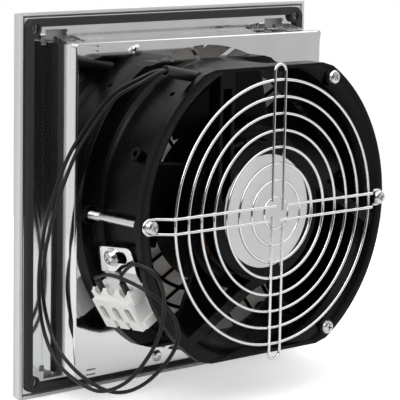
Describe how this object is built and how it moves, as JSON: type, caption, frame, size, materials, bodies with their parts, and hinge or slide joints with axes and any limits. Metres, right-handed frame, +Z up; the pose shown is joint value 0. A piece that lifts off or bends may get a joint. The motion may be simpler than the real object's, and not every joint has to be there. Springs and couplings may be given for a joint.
{
  "type": "cabinet filter fan",
  "caption": "Square cabinet filter fan with louvred cover, filter mat, bright sheet tray, black axial fan, wire guard and terminal block.",
  "frame": {"origin": "centre of the four corner holes on the flange's rear face, the face that carries the gasket", "axes": "+Y runs along the air flow's axis from the cover to the finger guard, +Z is up, X runs across the width"},
  "size_m": [0.204, 0.1051, 0.204],
  "materials": {
    "cover_plastic": "fine grain",
    "filter_fibre": "fibrous",
    "bright_sheet": "bright rolled",
    "foam": "matte",
    "spring_steel": "satin",
    "black_casting": "satin black",
    "lamination": "dull",
    "copper_wire": "varnished",
    "bearing_steel": "ground",
    "black_plastic": "satin black",
    "label_white": "smooth",
    "guard_wire": "bright",
    "zinc": "zinc plated",
    "lead_pvc": "semi-gloss",
    "white_plastic": "smooth",
    "clamp_brass": "nickel plated"
  },
  "bodies": {
    "housing": {"mount_frame": "bright_sheet", "flange_gasket": "foam", "spring_clips": "spring_steel", "fan_plate": "bright_sheet", "plate_rivets": "zinc", "fan_frame": "black_casting", "stator_core": "lamination", "stator_windings": "copper_wire", "bearing_front": "bearing_steel", "bearing_rear": "bearing_steel", "preload_washer": "spring_steel", "hub_label": "label_white", "finger_guard": "guard_wire", "fan_screws": "zinc", "fan_nuts": "zinc", "wire_sleeve": "lead_pvc", "lead_wire_a": "lead_pvc", "lead_wire_b": "lead_pvc", "wire_ends": "lead_pvc", "terminal_bracket": "bright_sheet", "bracket_screw": "zinc", "toothed_washer": "zinc", "terminal_block": "white_plastic", "terminal_screws": "zinc", "clamp_cages": "clamp_brass", "block_rivets": "zinc"},
    "rotor": {"shaft": "bearing_steel", "rotor_can": "black_casting", "impeller": "black_plastic", "retaining_ring": "spring_steel"},
    "cover": {"front_cover": "cover_plastic", "filter_mat": "filter_fibre"}
  },
  "joints": [
    {"name": "rotor_spin", "type": "hinge", "parent": "housing", "child": "rotor", "pos_m": [0, 0.0525, 0], "axis": [0, 1, 0], "continuous": true},
    {"name": "cover_pull", "type": "slide", "parent": "housing", "child": "cover", "axis": [0, -1, 0], "range_m": [0, 0.05]}
  ]
}
